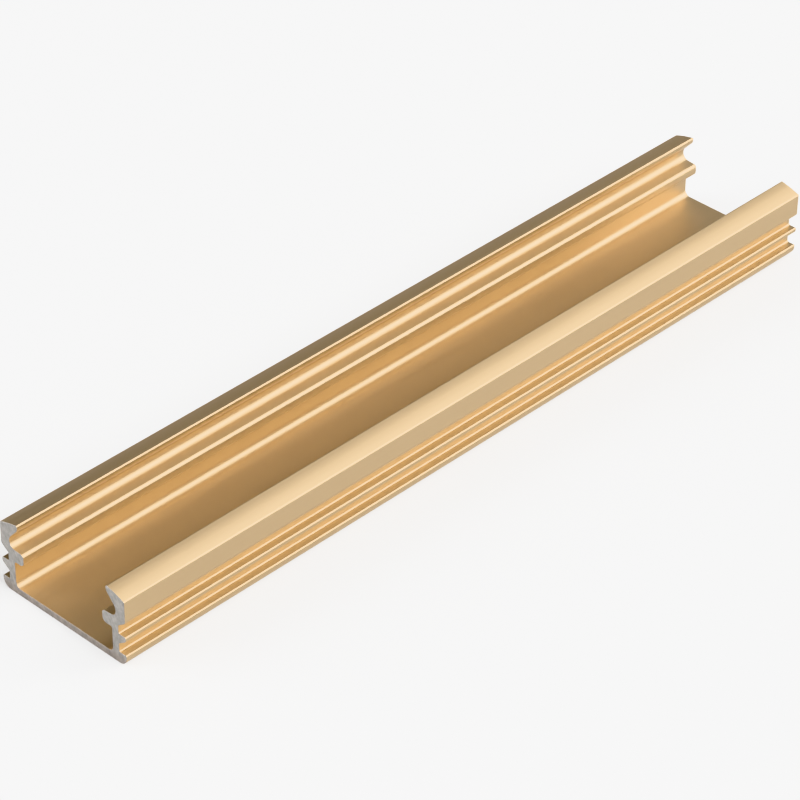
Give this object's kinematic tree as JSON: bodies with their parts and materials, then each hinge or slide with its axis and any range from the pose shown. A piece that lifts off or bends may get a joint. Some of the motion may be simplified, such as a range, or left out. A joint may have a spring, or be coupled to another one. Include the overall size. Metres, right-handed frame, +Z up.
{
  "type": "aluminium extrusion profile",
  "caption": "Short length of gold-anodised aluminium channel stock with a thin floor, inner ridges and lips for a snap-in cover, and clip grooves along the outside.",
  "frame": {"origin": "centre of the underside, halfway between the sawn ends", "axes": "+Y along the length of the stock, +X across it, +Z up out of the open mouth of the channel"},
  "size_m": [0.016, 0.09, 0.0077],
  "materials": {
    "anodised_aluminium": "satin gold anodised on the extruded faces, bare and finely sawn on the two ends"
  },
  "bodies": {
    "root": {"profile": "anodised_aluminium"}
  },
  "joints": []
}
